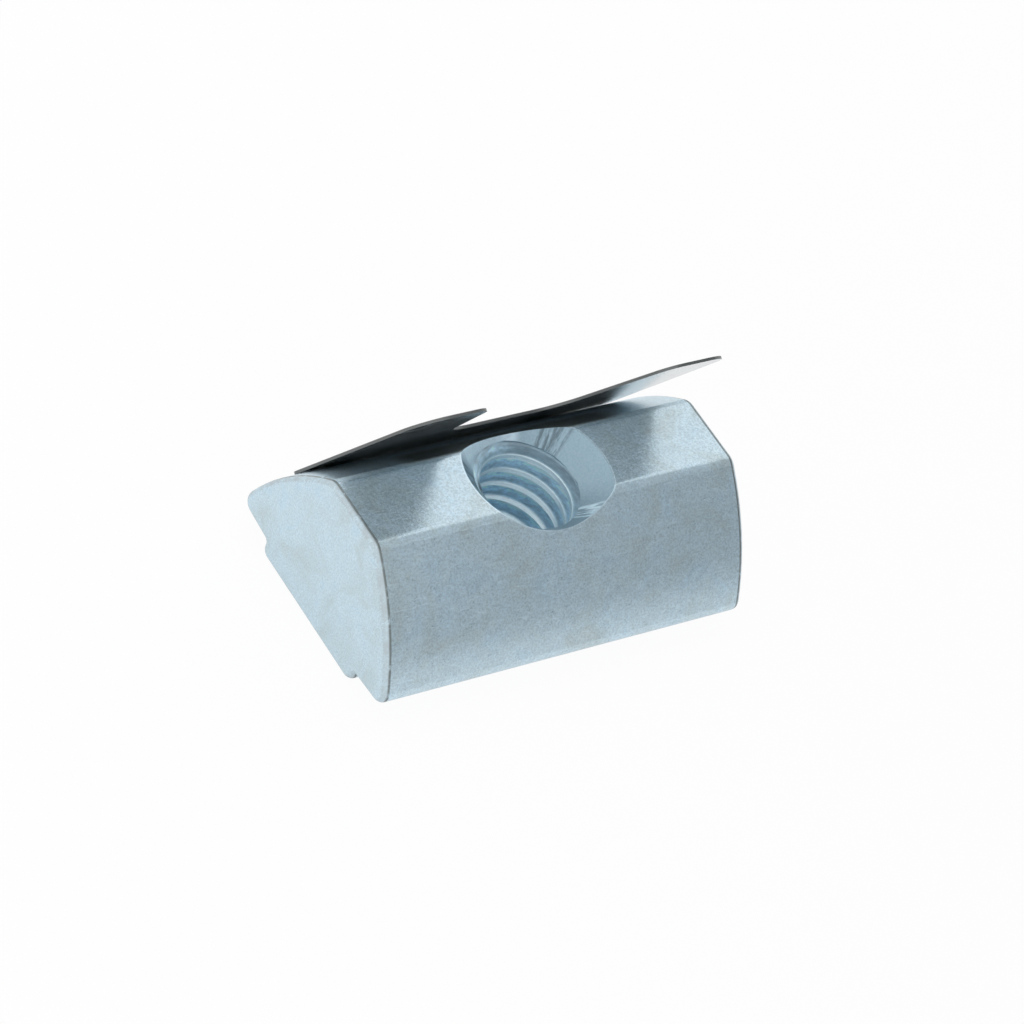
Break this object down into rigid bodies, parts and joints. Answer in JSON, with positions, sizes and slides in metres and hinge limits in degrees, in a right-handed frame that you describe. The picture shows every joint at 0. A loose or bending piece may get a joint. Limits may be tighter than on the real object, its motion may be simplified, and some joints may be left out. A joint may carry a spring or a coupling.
{
  "type": "t slot nut",
  "caption": "Steel T-slot nut with rounded flanks, a narrow collar, an M6 thread and a thin spring leaf with ears that holds it in place.",
  "frame": {"origin": "on the thread's axis, in the flat face of the collar", "axes": "+X along the slot, +Y across it towards the leaf's flank, +Z from the slot's mouth to its floor"},
  "size_m": [0.022, 0.0137, 0.0135],
  "materials": {
    "zinc_plated_steel": "satin, blue passivated zinc",
    "spring_steel": "bright rolled sheet"
  },
  "bodies": {
    "root": {"nut_body": "zinc_plated_steel", "spring_leaf": "spring_steel"}
  },
  "joints": []
}
